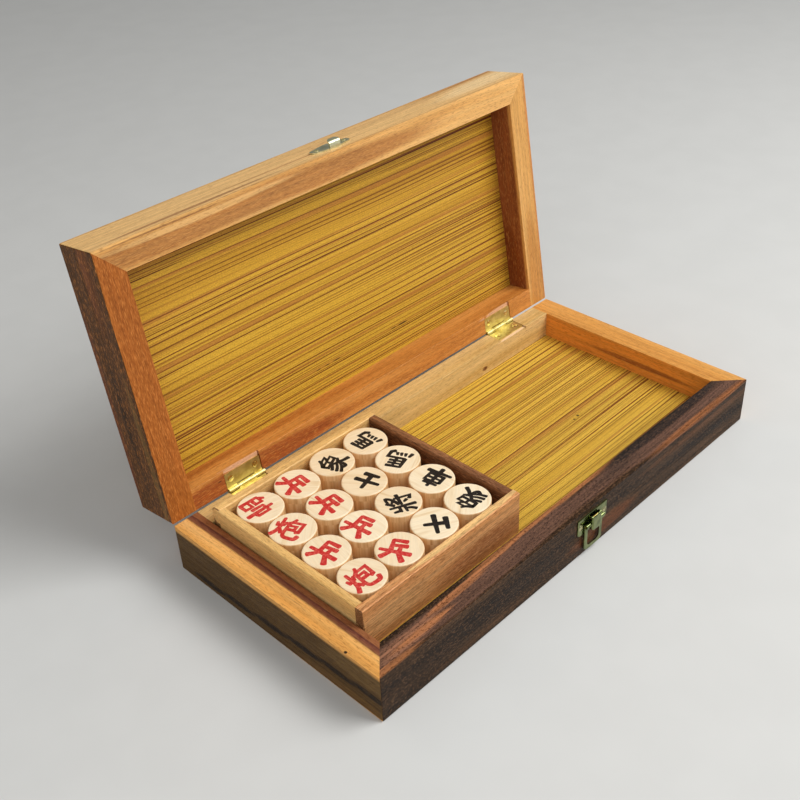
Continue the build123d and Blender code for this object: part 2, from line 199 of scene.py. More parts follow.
# ---- Wood -----------------------------------------------------------------------
# Wood is drawn in grain space, in metres: first axis along the grain, second across it,
# third up through the board. Lid pieces are first turned back flat about the hinge line,
# which is where their depth and height are counted from.
OPEN_ANGLE = 98.8
LID_TURN = radians(OPEN_ANGLE - 180)
HINGE_LINE = next(joint["pos_m"] for joint in frame["joints"] if joint["name"] == "lid_hinge")
# Half the size of a patch that has no end along that axis.
ENDLESS = 10.0
# How far a seed shifts the figure along each axis, and how far the grain strays, in metres.
SEED_SHIFT = (1.0, 0.37, 0.61)
WARP = 0.004
# The usual specular level of wood, and the colour that darkens its pores.
WOOD_GLOSS = 0.3
PORE_TONE = tone(170, 140, 118)
# The cut wood in the hinge mortises: colour, place across the grain, level and strength.
RAW_WOOD = {
    "base": (tone(246, 206, 160), 0.0624, 0.0276, 1.0),
    "lid": (tone(226, 176, 140), 0.0112, -0.00105, 0.8),
}
RAW_WOOD_SIZE = (0.022, 0.0019, 0.0006)


def grain_space(tree, along, on_lid):
    """Grain space for wood that runs along X or Y."""
    place = coordinates(tree)
    if on_lid:
        from_hinge = vector_calc(tree, "SUBTRACT", place, HINGE_LINE)
        turned = add(tree, "ShaderNodeMapping", {"Vector": from_hinge, "Rotation": (LID_TURN, 0, 0)})
        place = turned.outputs[0]
    if along == "Y":
        parts = axes(tree, place)
        swapped = add(tree, "ShaderNodeCombineXYZ", {0: parts["Y"], 1: parts["X"], 2: parts["Z"]})
        place = swapped.outputs[0]
    return place


def grain_noise(tree, place, along, across, detail, roughness=0.6, output="Fac"):
    """Noise of one scale along the grain and another across it and through the board."""
    return noise(tree, place, (along, across, across), detail, roughness, output=output)


def raw_wood_in_mortises(half):
    """Patches of the cut, unfinished wood that shows beyond each hinge leaf."""
    colour, across, level, strength = RAW_WOOD[half]
    patches = []
    for hand in ("left", "right"):
        low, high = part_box(f"hinge_{hand}_base_leaf")
        middle = (low.x + high.x) / 2
        patches.append((colour, (middle, across, level), RAW_WOOD_SIZE, 0.3, strength))
    return patches


def wood(name, along, tones, seed, on_lid=False, figure=110.0, streak=0.14, patches=(),
         fleck=0.4, fleck_tone=PORE_TONE, fleck_size=(330.0, 2400.0), glint=0.25, glint_tone=None,
         coat=0.06, gloss=WOOD_GLOSS):
    """Straight-grained wood with its figure, streaks, pores and patches of other colours.

    The tones follow the broad figure. Streak, fleck and glint are the strengths of the
    fine lines, of the dark pores and of the pale glints beside them.
    """
    material, tree = new_material(name)
    place = grain_space(tree, along, on_lid)
    shifted = vector_calc(tree, "ADD", place, [seed * shift for shift in SEED_SHIFT])
    bend = grain_noise(tree, shifted, 9.0, 40.0, detail=1.0, roughness=0.5, output="Color")
    swing = vector_calc(tree, "SUBTRACT", bend, (0.5, 0.5, 0.5))
    push = vector_calc(tree, "MULTIPLY", swing, (WARP, WARP, WARP))
    bent = vector_calc(tree, "ADD", shifted, push)
    bent_place = vector_calc(tree, "ADD", place, push)

    broad = grain_noise(tree, bent, 4.0, figure, detail=2.5, roughness=0.5)
    middle = grain_noise(tree, bent, 18.0, 6 * figure, detail=3.0)
    fibre = grain_noise(tree, bent, 110.0, 3600.0, detail=2.0)
    pores = grain_noise(tree, bent, *fleck_size, detail=1.5)

    step = (NOISE_HIGH - NOISE_LOW) / (len(tones) - 1)
    colour = ramp(tree, broad, [(NOISE_LOW + step * index, value) for index, value in enumerate(tones)])
    for shade, centre, size, softness, strength in patches:
        mask = patch(tree, bent_place, centre, size, softness)
        edge = fade(tree, calc(tree, "ADD", mask, times(tree, middle, 0.5)), 0.35, 1.0)
        colour = blend(tree, times(tree, edge, strength), colour, shade)
    colour = brighten(tree, colour, fade(tree, middle, 0.36, 0.66, 1.0 - streak, 1.0 + 0.4 * streak))
    colour = brighten(tree, colour, vary(tree, fibre, 0.91, 1.06))

    open_pores = fade(tree, pores, 0.54, 0.66)
    dark = blend(tree, 1.0, colour, fleck_tone, "MULTIPLY")
    colour = blend(tree, times(tree, open_pores, fleck), colour, dark)
    glints = fade(tree, pores, 0.46, 0.34)
    colour = blend(tree, times(tree, glints, glint), colour, glint_tone or tones[-1])

    height = calc(tree, "SUBTRACT", times(tree, fibre, 0.4), times(tree, open_pores, 0.8))
    finish_surface(
        tree, colour, vary(tree, middle, 0.56, 0.45), bump=height, bump_distance=0.06 * MM,
        Specular_IOR_Level=gloss, Coat_Weight=coat, Coat_Roughness=0.3,
    )
    return material


def veneer(name, on_lid, golds, specks):
    """Striped veneer: gold, with fine dark lines, soft brown bands and a few dark specks."""
    material, tree = new_material(name)
    place = grain_space(tree, "X", on_lid)
    drift = noise(tree, place, (3.5, 14.0, 1.0), detail=1.0)
    parts = axes(tree, place)
    across = calc(tree, "ADD", parts["Y"], times(tree, drift, 0.005))
    flat = add(tree, "ShaderNodeCombineXYZ", {0: parts["X"], 1: across, 2: 0.0}).outputs[0]
    field = noise(tree, flat, (1.5, 50.0, 1.0), detail=1.5)
    bands = noise(tree, flat, (1.6, 210.0, 1.0), detail=1.5, roughness=0.6)
    lines = noise(tree, flat, (1.2, 900.0, 1.0), detail=1.0, roughness=0.5)
    hairs = noise(tree, flat, (3.0, 1500.0, 1.0), detail=1.0, roughness=0.6)
    fibre = noise(tree, flat, (260.0, 4200.0, 1.0), detail=2.0, roughness=0.6)
    speckle = noise(tree, place, (1100.0, 1900.0, 1.0), detail=1.0)

    # Both kinds of line are stronger where the field is dense.
    dense = fade(tree, field, 0.40, 0.58)
    colour = ramp(tree, field, list(zip((0.30, 0.50, 0.70), golds)))
    soft_bands = times(tree, fade(tree, bands, 0.52, 0.66), 0.55)
    colour = blend(tree, soft_bands, colour, tone(158, 88, 46))
    dark_lines = times(tree, fade(tree, lines, 0.580, 0.602), fade(tree, dense, 0.0, 1.0, 0.8, 1.0))
    colour = blend(tree, dark_lines, colour, tone(98, 44, 14))
    hair_lines = times(tree, fade(tree, hairs, 0.56, 0.60), fade(tree, dense, 0.0, 1.0, 0.35, 0.9))
    colour = blend(tree, hair_lines, colour, tone(122, 66, 24))
    for centre, size in specks:
        spot = patch(tree, flat, (*centre, 0.0), (*size, 1.0), 0.5)
        colour = blend(tree, times(tree, spot, 0.9), colour, tone(54, 32, 18))
    weave = times(tree, vary(tree, fibre, 0.88, 1.12), vary(tree, speckle, 0.86, 1.14))
    colour = brighten(tree, colour, weave)
    finish_surface(
        tree, colour, vary(tree, fibre, 0.55, 0.45), bump=fibre, bump_distance=0.03 * MM,
        Specular_IOR_Level=0.2, Coat_Weight=0.03, Coat_Roughness=0.35,
    )
    return material


# ---- Metal and paint --------------------------------------------------------------
def brass(name, colour, darker, roughness):
    """Bright plate with faint rolling lines and slightly dull patches."""
    material, tree = new_material(name)
    place = coordinates(tree)
    cloud = noise(tree, place, (260.0, 260.0, 260.0))
    rolled = noise(tree, place, (300.0, 6000.0, 6000.0), detail=2.0)
    shade = blend(tree, fade(tree, cloud, 0.35, 0.7), colour, darker)
    dulled = fade(tree, cloud, 0.35, 0.7, roughness, roughness + 0.05)
    rough = calc(tree, "ADD", dulled, times(tree, rolled, 0.05))
    finish_surface(tree, shade, rough, bump=rolled, bump_distance=0.002 * MM, Metallic=1.0)
    return material


def paint(name, colour, thin):
    """Brushed mark paint, a little thinner in places."""
    material, tree = new_material(name)
    cloud = noise(tree, coordinates(tree), (900.0, 900.0, 900.0))
    shade = blend(tree, fade(tree, cloud, 0.42, 0.70), colour, thin)
    finish_surface(tree, shade, vary(tree, cloud, 0.42, 0.55), Specular_IOR_Level=WOOD_GLOSS)
    return material


# ---- Discs ------------------------------------------------------------------------
# The pitch is in millimetres; the columns run to the right and the rows to the front.
DISC_PITCH = 24.3
low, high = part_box("general_red")
FIRST_DISC = ((low.x + high.x) / 2, (low.y + high.y) / 2)
UPPER_TOP = high.z
LOWER_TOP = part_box("lower_soldiers_black")[1].z
# Chance is drawn anew for each cell, one pitch wide and about one disc high.
CELL_HEIGHT = 0.0111


def disc_wood(name):
    """Pale close-grained wood that turns and tints its own way from disc to disc."""
    material, tree = new_material(name)
    place = coordinates(tree)
    pitch = DISC_PITCH * MM
    corner = (FIRST_DISC[0] - pitch / 2, FIRST_DISC[1] - pitch / 2, 0.0)
    from_corner = vector_calc(tree, "SUBTRACT", place, corner)
    in_cells = vector_calc(tree, "DIVIDE", from_corner, (pitch, pitch, CELL_HEIGHT))
    cell = vector_calc(tree, "FLOOR", in_cells)
    dice = add(tree, "ShaderNodeTexWhiteNoise", {"Vector": cell}, noise_dimensions="3D").outputs
    turn = times(tree, dice["Value"], 2 * pi)
    turned = add(tree, "ShaderNodeVectorRotate", {"Vector": place, "Angle": turn}, rotation_type="Z_AXIS")
    moved = vector_calc(tree, "ADD", turned.outputs[0], dice["Color"])
    figure = noise(tree, moved, (22.0, 260.0, 12.0), detail=3.0, roughness=0.55, distortion=0.4)
    fine = noise(tree, moved, (160.0, 2600.0, 60.0), detail=2.0)
    side_streaks = noise(tree, moved, (520.0, 520.0, 18.0), detail=3.0, roughness=0.6)

    top = ramp(tree, figure, [
        (0.30, tone(238, 214, 174)), (0.50, tone(248, 232, 200)), (0.62, tone(244, 224, 188)),
        (0.72, tone(228, 200, 156)),
    ])
    green_chance = add(tree, "ShaderNodeSeparateColor", {0: dice["Color"]}).outputs[1]
    warmth = fade(tree, green_chance, 0.0, 1.0, 0.0, 0.30)
    top = blend(tree, warmth, top, tone(226, 190, 140))
    top = brighten(tree, top, vary(tree, fine, 0.95, 1.03))
    side = ramp(tree, side_streaks, [
        (0.32, tone(206, 156, 98)), (0.52, tone(234, 190, 134)), (0.70, tone(244, 208, 156)),
    ])
    upward = calc(tree, "ABSOLUTE", axes(tree, coordinates(tree, "Normal"))["Z"])
    colour = blend(tree, fade(tree, upward, 0.25, 0.85), side, top)
    finish_surface(
        tree, colour, vary(tree, fine, 0.42, 0.5), bump=fine, bump_distance=0.02 * MM,
        Coat_Weight=0.1, Coat_Roughness=0.3,
    )
    return material


# Each mark is the usual rank character of the game, as plain bold strokes of this
# file's own drawing: (width, form, points), in millimetres from the mark's middle.
STRAIGHT = False
CURVED = True
MARKS = {
    "soldier_red": [
        (1.76, STRAIGHT, [(-2.6, 6.9), (4.2, 6.7)]),
        (1.66, STRAIGHT, [(-2.6, 7.0), (-2.3, -0.6)]),
        (1.76, STRAIGHT, [(-2.2, 3.3), (5.0, 3.6)]),
        (1.6, STRAIGHT, [(1.9, 3.3), (1.7, -0.9)]),
        (1.76, STRAIGHT, [(-7.6, -0.5), (7.7, -1.5)]),
        (1.85, STRAIGHT, [(-2.4, -1.6), (-6.2, -5.7)]),
        (1.98, STRAIGHT, [(1.8, -1.9), (4.8, -6.9)]),
    ],
    "soldier_black": [
        (1.4, STRAIGHT, [(-0.2, 7.5), (0.6, 5.8)]),
        (1.4, STRAIGHT, [(-5.2, 5.0), (5.2, 5.3)]),
        (1.3, STRAIGHT, [(-2.4, 4.6), (-4.8, 0.4)]),
        (1.3, STRAIGHT, [(-3.2, 2.8), (-0.9, 0.5)]),
        (1.3, STRAIGHT, [(2.5, 4.7), (0.4, 0.6)]),
        (1.3, STRAIGHT, [(2.0, 3.0), (4.9, 0.4)]),
        (1.6, STRAIGHT, [(-6.6, -1.4), (6.6, -1.1)]),
        (1.6, STRAIGHT, [(0.0, 0.4), (0.0, -7.4)]),
    ],
    "advisor": [
        (1.8, STRAIGHT, [(-6.5, 0.4), (6.6, 0.9)]),
        (1.8, STRAIGHT, [(0.0, 6.1), (0.1, -4.9)]),
        (1.9, STRAIGHT, [(-3.9, -5.0), (4.1, -4.7)]),
    ],
    "horse": [
        (1.4, STRAIGHT, [(-3.6, 6.4), (4.0, 6.8)]),
        (1.5, STRAIGHT, [(-3.6, 6.6), (-3.9, -0.8)]),
        (1.3, STRAIGHT, [(0.6, 6.6), (0.4, -0.6)]),
        (1.2, STRAIGHT, [(-3.4, 4.0), (3.7, 4.3)]),
        (1.2, STRAIGHT, [(-3.4, 1.7), (3.7, 2.0)]),
        (1.5, STRAIGHT, [(-3.9, -0.8), (5.7, -0.4), (5.3, -4.6), (3.3, -5.9)]),
        (1.4, STRAIGHT, [(-5.2, -3.0), (-6.1, -5.9)]),
        (1.2, STRAIGHT, [(-3.1, -3.1), (-2.7, -5.3)]),
        (1.2, STRAIGHT, [(-0.9, -3.0), (-0.3, -5.1)]),
        (1.2, STRAIGHT, [(1.2, -2.9), (1.9, -4.8)]),
    ],
    "chariot": [
        (1.4, STRAIGHT, [(-3.9, 5.1), (3.7, 5.3)]),
        (1.3, STRAIGHT, [(-4.3, 3.3), (4.3, 3.5), (4.1, -1.9), (-4.1, -2.0), (-4.3, 3.3)]),
        (1.2, STRAIGHT, [(-4.0, 0.7), (4.0, 0.8)]),
        (1.6, STRAIGHT, [(-6.7, -4.3), (6.7, -3.8)]),
        (1.6, STRAIGHT, [(0.0, 7.6), (0.0, -7.6)]),
    ],
    "elephant": [
        (1.3, CURVED, [(-0.4, 7.5), (-1.8, 5.6), (-4.8, 3.6)]),
        (1.3, STRAIGHT, [(-1.9, 5.9), (3.0, 6.1), (1.5, 3.9)]),
        (1.2, STRAIGHT, [(-4.6, 3.5), (4.9, 3.7), (4.4, 0.8), (-4.3, 0.6), (-4.6, 3.5)]),
        (1.2, STRAIGHT, [(0.2, 3.6), (-0.1, 0.7)]),
        (1.2, CURVED, [(-0.3, 0.6), (-2.4, -0.8), (-5.4, -1.9)]),
        (1.4, CURVED, [(-1.0, -0.2), (1.4, -2.2), (1.8, -4.8), (0.6, -6.9), (-1.2, -6.2)]),
        (1.2, CURVED, [(0.8, -1.8), (-2.0, -3.4), (-5.4, -4.4)]),
        (1.2, CURVED, [(1.4, -3.6), (-1.4, -5.6), (-5.0, -6.8)]),
        (1.3, STRAIGHT, [(4.8, -0.6), (2.0, -2.2)]),
        (1.5, CURVED, [(1.8, -1.8), (4.2, -4.2), (7.2, -6.0)]),
    ],
    "general_black": [
        (1.3, STRAIGHT, [(-2.4, 6.6), (-2.4, -6.9)]),
        (1.3, STRAIGHT, [(-5.8, 5.4), (-5.5, 2.0)]),
        (1.2, STRAIGHT, [(-6.4, 1.8), (-2.5, 2.0)]),
        (1.2, STRAIGHT, [(-6.8, -1.0), (-2.5, -0.8)]),
        (1.3, CURVED, [(-4.5, -1.0), (-5.0, -3.6), (-6.6, -5.9)]),
        (1.3, STRAIGHT, [(1.8, 7.3), (-0.7, 3.8)]),
        (1.3, CURVED, [(0.9, 6.1), (5.6, 6.4), (3.6, 3.4), (-0.5, 1.2)]),
        (1.1, STRAIGHT, [(1.3, 4.5), (2.5, 3.5)]),
        (1.4, STRAIGHT, [(-1.0, 0.0), (6.8, 0.4)]),
        (1.4, STRAIGHT, [(4.3, 2.2), (4.4, -6.2), (2.2, -5.2)]),
        (1.2, STRAIGHT, [(0.6, -1.9), (1.9, -3.7)]),
    ],
    "general_red": [
        (1.5, STRAIGHT, [(-3.0, 7.4), (-4.5, 5.4)]),
        (1.5, STRAIGHT, [(-5.9, 5.2), (-5.9, -5.4)]),
        (1.3, STRAIGHT, [(-5.9, 5.0), (-1.5, 5.2), (-1.6, 1.6), (-5.7, 1.5)]),
        (1.3, STRAIGHT, [(-5.7, -1.0), (-1.2, -0.8), (-1.4, -4.9), (-5.8, -5.1)]),
        (1.4, STRAIGHT, [(1.1, 3.8), (1.0, -3.0)]),
        (1.4, STRAIGHT, [(1.1, 3.7), (6.4, 3.9), (6.3, -2.4), (4.9, -3.1)]),
        (1.6, STRAIGHT, [(3.7, 7.4), (3.8, -7.6)]),
    ],
    "cannon": [
        (1.4, STRAIGHT, [(-7.0, 3.0), (-6.3, 0.6)]),
        (1.4, STRAIGHT, [(-2.6, 3.9), (-3.7, 1.5)]),
        (1.6, CURVED, [(-4.7, 6.6), (-4.7, 0.6), (-5.4, -3.2), (-7.1, -6.2)]),
        (1.5, STRAIGHT, [(-4.4, -1.0), (-2.5, -3.8)]),
        (1.5, CURVED, [(1.2, 7.2), (0.2, 5.0), (-2.0, 3.0)]),
        (1.5, STRAIGHT, [(0.4, 4.9), (6.1, 5.2), (5.7, -0.9), (4.1, -1.4)]),
        (1.4, STRAIGHT, [(-0.9, 2.3), (3.2, 2.5), (3.1, -0.3), (-0.9, -0.4)]),
        (1.6, CURVED, [(-1.0, 2.4), (-1.2, -3.6), (-0.2, -5.8), (2.6, -6.3), (5.6, -6.0), (6.6, -3.7)]),
    ],
}

# Column, row, mark, turn in degrees, and shift of the mark from the disc's middle, in millimetres.
FACES = {
    "general_red": (0, 0, "general_red", -91, (-2.0, 1.5)),
    "cannon_red_1": (0, 1, "cannon", -68, (-1.6, 1.2)),
    "soldier_red_1": (0, 2, "soldier_red", -80, (-1.2, 0.3)),
    "cannon_red_2": (0, 3, "cannon", -2, (-1.2, -1.4)),
    "soldier_red_2": (1, 0, "soldier_red", -94, (-1.8, 1.4)),
    "soldier_red_3": (1, 1, "soldier_red", -95, (-0.8, 1.4)),
    "soldier_red_4": (1, 2, "soldier_red", -80, (-2.0, 1.3)),
    "soldier_red_5": (1, 3, "soldier_red", -61, (-2.2, 0.2)),
    "elephant_black_1": (2, 0, "elephant", 25, (-0.9, -1.5)),
    "advisor_black_1": (2, 1, "advisor", 105, (1.0, -1.2)),
    "general_black": (2, 2, "general_black", 65, (-0.2, -2.0)),
    "advisor_black_2": (2, 3, "advisor", 51, (0.2, -1.5)),
    "horse_black_1": (3, 0, "horse", 90, (0.3, -0.2)),
    "horse_black_2": (3, 1, "horse", 112, (0.1, 0.1)),
    "chariot_black": (3, 2, "chariot", 98, (1.5, -1.0)),
    "elephant_black_2": (3, 3, "elephant", 92, (0.4, -1.5)),
}
# Under each column, the marks and their turns from the back row to the front.
LOWER_FACES = {
    "lower_advisors_elephants_red": [
        ("advisor", 20), ("elephant", 200), ("advisor", -70), ("elephant", 140),
    ],
    "lower_horses_chariots_red": [("horse", 75), ("chariot", -30), ("horse", 160), ("chariot", 240)],
    "lower_soldiers_black": [("soldier_black", turn) for turn in (10, -85, 150, 60)],
    "lower_mixed_black": [("chariot", -15), ("cannon", 95), ("cannon", 210), ("soldier_black", -60)],
}
# In millimetres: how far paint stands above a disc's face and reaches into it, and how much
# higher each next stroke of a mark lies, so that crossing strokes share no plane.
MARK_THICKNESS = 0.03
MARK_SUNK = 0.01
STROKE_STEP = 0.001
# Stroke widths as shares of those in MARKS: all along, at a stroke's start and at its end.
MARK_BOLDNESS = 1.34
STROKE_START = 0.88
STROKE_END = 1.22
# At a bend a stroke widens by 1 over the cosine of half the turn, within these two limits.
WIDEST_BEND = 1.4
LEAST_COSINE = 0.3
# The round ends: places on their arc in degrees, and their length as a share of the half width.
CAP_ANGLES = (40, 70, 88)
CAP_BLUNTNESS = 0.55
CURVE_STEPS = 5


def smooth_line(points):
    """More points along a curve (a Catmull-Rom spline) through the given ones."""
    ends = [points[0] * 2 - points[1]] + points + [points[-1] * 2 - points[-2]]
    line = []
    for before, start, end, after in zip(ends, ends[1:], ends[2:], ends[3:]):
        for step in range(CURVE_STEPS):
            t = step / CURVE_STEPS
            line.append(0.5 * (
                2 * start + (end - before) * t
                + (2 * before - 5 * start + 4 * end - after) * t * t
                + (3 * start - 3 * end + after - before) * t * t * t
            ))
    return line + [points[-1]]


def stroke_stations(width, curved, points):
    """Places along a stroke, with the side direction and the half width at each."""
    line = [Vector(point) for point in points]
    if curved:
        line = smooth_line(line)
    ways = [(b - a).normalized() for a, b in zip(line, line[1:])]
    half = MARK_BOLDNESS * width / 2
    shares = [index / (len(line) - 1) for index in range(len(line))]
    swells = [STROKE_START + (STROKE_END - STROKE_START) * share for share in shares]
    stations = []
    for index, point in enumerate(line):
        before = ways[max(index - 1, 0)]
        after = ways[min(index, len(ways) - 1)]
        way = (before + after).normalized()
        side = Vector((-way.y, way.x))
        widening = min(WIDEST_BEND, 1 / max(LEAST_COSINE, way.dot(before)))
        stations.append((point, side, half * widening * swells[index]))
    start_way, end_way = ways[0], ways[-1]
    start_side, end_side = (Vector((-way.y, way.x)) for way in (start_way, end_way))
    for angle in CAP_ANGLES:
        reach = half * CAP_BLUNTNESS * sin(radians(angle))
        narrow = half * cos(radians(angle))
        stations.insert(0, (line[0] - start_way * reach, start_side, narrow * STROKE_START))
        stations.append((line[-1] + end_way * reach, end_side, narrow * STROKE_END))
    return stations


def add_mark(strokes, centre, turn, top, verts, faces):
    """The strokes of one mark as thin closed ribbons on a disc's face."""
    spin = Matrix.Rotation(radians(turn), 2)
    for order, (width, curved, points) in enumerate(strokes):
        lift = (MARK_THICKNESS + STROKE_STEP * order) * MM
        first = len(verts)
        stations = stroke_stations(width, curved, points)
        for point, side, half in stations:
            for hand in (1, -1):
                flat = spin @ (point + side * half * hand)
                for level in (top - MARK_SUNK * MM, top + lift):
                    verts.append((centre[0] + flat.x * MM, centre[1] + flat.y * MM, level))
        for index in range(len(stations) - 1):
            a = first + 4 * index
            b = a + 4
            faces.extend([
                (a + 1, a + 3, b + 3, b + 1), (a, b, b + 2, a + 2),
                (a, a + 1, b + 1, b), (a + 2, b + 2, b + 3, a + 3),
            ])
        last = first + 4 * (len(stations) - 1)
        faces.append((first, first + 2, first + 3, first + 1))
        faces.append((last, last + 1, last + 3, last + 2))


def mark_piece(name, body, marks, top, material):
    """One painted piece: (mark, column, row, turn, shift) for each disc that it covers."""
    verts, faces = [], []
    for mark, column, row, turn, shift in marks:
        centre = (
            FIRST_DISC[0] + (column * DISC_PITCH + shift[0]) * MM,
            FIRST_DISC[1] + (-row * DISC_PITCH + shift[1]) * MM,
        )
        add_mark(MARKS[mark], centre, turn, top, verts, faces)
    mesh = bpy.data.meshes.new(name)
    mesh.from_pydata(verts, [], faces)
    mesh.materials.append(material)
    piece = bpy.data.objects.new(name, mesh)
    bpy.context.scene.collection.objects.link(piece)
    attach(piece, body)


red_paint = paint("red_paint", tone(194, 42, 42), tone(216, 92, 80))
black_paint = paint("black_paint", tone(20, 17, 16), tone(44, 38, 34))

for disc, (column, row, mark, turn, shift) in FACES.items():
    colour = red_paint if "red" in disc else black_paint
    mark_piece(f"{disc}_mark", disc, [(mark, column, row, turn, shift)], UPPER_TOP, colour)
for column, (body, row_marks) in enumerate(LOWER_FACES.items()):
    colour = red_paint if "red" in body else black_paint
    marks = [(mark, column, row, turn, (0.0, 0.0)) for row, (mark, turn) in enumerate(row_marks)]
    mark_piece(f"{body}_marks", body, marks, LOWER_TOP, colour)

# ---- Woods of the case and the tray -------------------------------------------------
# Where the patches on each face are centred, in grain space and metres: within 1 mm of the face.
RIM = 0.0284
FRONT_FACE = -0.0735
LEFT_FACE = -0.150
RIGHT_INNER_FACE = 0.1345
LID_RIM = 0.0
LID_LEFT_FACE = -0.1510
LID_FRONT_FACE = 0.1474
TRAY_FRONT_FACE = -0.0469
TRAY_LEFT_END = -0.1341
TRAY_RIM = 0.0380
# The orange streak wanders across the front rail's top as (x, y), in metres.
ORANGE_STREAK = [
    (-0.142, -0.0718), (-0.118, -0.0672), (-0.090, -0.0630), (-0.060, -0.0608), (-0.030, -0.0600),
    (0.000, -0.0600), (0.020, -0.0598),
]
# A dark band slopes down the left rail's outer face as (y, z), in metres.
DARK_BAND = [
    (-0.067, 0.0125), (-0.045, 0.0110), (-0.022, 0.0095), (0.002, 0.0080), (0.026, 0.0064),
    (0.048, 0.0050),
]
# A patch is (colour, centre, half sizes, softness, strength) in grain space.
base_front = wood(
    "base_front_wood", "X",
    [tone(24, 18, 12), tone(44, 31, 20), tone(62, 43, 26), tone(88, 60, 34)],
    figure=150.0, streak=0.35, fleck=0.75, fleck_tone=tone(110, 92, 72), glint=0.38,
    glint_tone=tone(134, 98, 72), fleck_size=(700.0, 2000.0), seed=1.3, coat=0.0, gloss=0.12,
    patches=[
        (tone(110, 80, 66), (-0.06, -0.0665, RIM), (ENDLESS, 0.0072, 0.0016), 0.5, 0.85),
        (tone(166, 114, 84), (-0.125, -0.0665, RIM), (0.035, 0.0068, 0.0016), 0.9, 0.7),
        *[(tone(190, 122, 74), (x, y, RIM), (0.032, 0.0030, 0.002), 0.9, 0.7) for x, y in ORANGE_STREAK],
        (tone(44, 38, 36), (0.080, -0.0615, RIM), (0.085, 0.0052, 0.002), 0.7, 0.9),
        (tone(56, 46, 40), (0.030, -0.0670, RIM), (0.045, 0.0066, 0.0016), 0.9, 0.7),
        (tone(164, 102, 60), (0.105, -0.0722, RIM), (0.08, 0.0036, 0.003), 0.9, 0.8),
        (tone(104, 68, 42), (0.10, FRONT_FACE, 0.022), (0.09, 0.003, 0.004), 0.9, 0.7),
        (tone(24, 18, 14), (0.10, FRONT_FACE, 0.014), (0.07, 0.003, 0.003), 0.9, 0.8),
        (tone(112, 62, 30), (0.012, FRONT_FACE, 0.009), (0.045, 0.003, 0.008), 0.9, 0.7),
        (tone(26, 21, 17), (-0.07, FRONT_FACE, 0.014), (0.10, 0.003, 0.010), 0.9, 0.6),
        (tone(92, 62, 36), (-0.08, FRONT_FACE, 0.004), (0.07, 0.003, 0.003), 0.9, 0.6),
    ],
)
base_left = wood(
    "base_left_wood", "Y",
    [tone(214, 146, 68), tone(230, 168, 90), tone(238, 184, 112)],
    seed=2.1, coat=0.0, gloss=0.16, glint=0.06,
    patches=[
        (tone(150, 92, 58), (0.0, -0.1360, RIM), (ENDLESS, 0.0068, 0.004), 0.8, 0.95),
        (tone(112, 62, 50), (0.0, -0.1400, RIM), (ENDLESS, 0.0026, 0.003), 0.9, 0.85),
        (tone(92, 48, 40), (0.0, -0.1388, RIM), (ENDLESS, 0.0007, 0.003), 0.8, 0.7),
        (tone(44, 26, 18), (-0.0511, -0.1492, RIM), (0.0014, 0.0010, 0.002), 0.6, 1.0),
        # Painted shade: the whole left outer face is painted a dark olive brown for the shade it stands in.
        (tone(80, 56, 22), (0.0, LEFT_FACE, 0.013), (ENDLESS, 0.003, 0.0142), 0.25, 0.98),
        (tone(110, 78, 38), (-0.05, LEFT_FACE, 0.003), (0.05, 0.003, 0.0040), 0.8, 0.8),
        (tone(112, 84, 44), (-0.060, LEFT_FACE, 0.021), (0.040, 0.003, 0.0085), 0.9, 0.7),
        *[(tone(28, 16, 8), (y, LEFT_FACE, z), (0.020, 0.003, 0.0030), 0.8, 0.95) for y, z in DARK_BAND],
    ],
)
base_right = wood(
    "base_right_wood", "Y",
    [tone(204, 134, 56), tone(224, 158, 76), tone(234, 174, 98)], seed=3.7,
    patches=[
        # The right rail's inner face: its own orange, painted lighter as painted light, to lift the shade
        # it stands in.
        (tone(232, 146, 56), (0.0, RIGHT_INNER_FACE, 0.018), (ENDLESS, 0.003, 0.012), 0.4, 1.0),
        (tone(150, 80, 32), (-0.01, RIGHT_INNER_FACE, 0.019), (0.06, 0.003, 0.0028), 0.9, 0.85),
    ],
)
base_back = wood(
    "base_back_wood", "X",
    [tone(206, 164, 94), tone(222, 184, 118), tone(234, 198, 138)], seed=4.9,
    patches=[
        (tone(112, 62, 28), (0.0748, 0.0612, 0.0163), (0.0036, 0.002, 0.0022), 0.9, 1.0),
        *raw_wood_in_mortises("base"),
    ],
)
lid_front = wood(
    "lid_front_wood", "X",
    [tone(192, 132, 66), tone(216, 160, 88), tone(232, 180, 108), tone(222, 166, 94)],
    on_lid=True, seed=5.2,
    patches=[
        (tone(166, 106, 48), (-0.06, 0.139, LID_RIM), (0.19, 0.009, 0.004), 0.7, 0.85),
        (tone(250, 206, 138), (0.0, LID_FRONT_FACE, -0.014), (ENDLESS, 0.0016, 0.0146), 0.3, 0.6),
        (tone(255, 222, 166), (0.13, LID_FRONT_FACE, -0.014), (0.08, 0.0016, 0.0146), 0.9, 0.7),
        (tone(156, 100, 54), (-0.09, LID_FRONT_FACE, -0.0045), (0.09, 0.0016, 0.0022), 0.9, 0.8),
        (tone(190, 130, 74), (-0.03, LID_FRONT_FACE, -0.0105), (0.11, 0.0016, 0.0016), 0.9, 0.7),
        (tone(236, 190, 122), (-0.09, 0.1432, LID_RIM), (0.10, 0.0026, 0.003), 0.9, 0.6),
        (tone(140, 90, 46), (-0.11, 0.1458, LID_RIM), (0.06, 0.0008, 0.003), 0.9, 0.8),
    ],
)
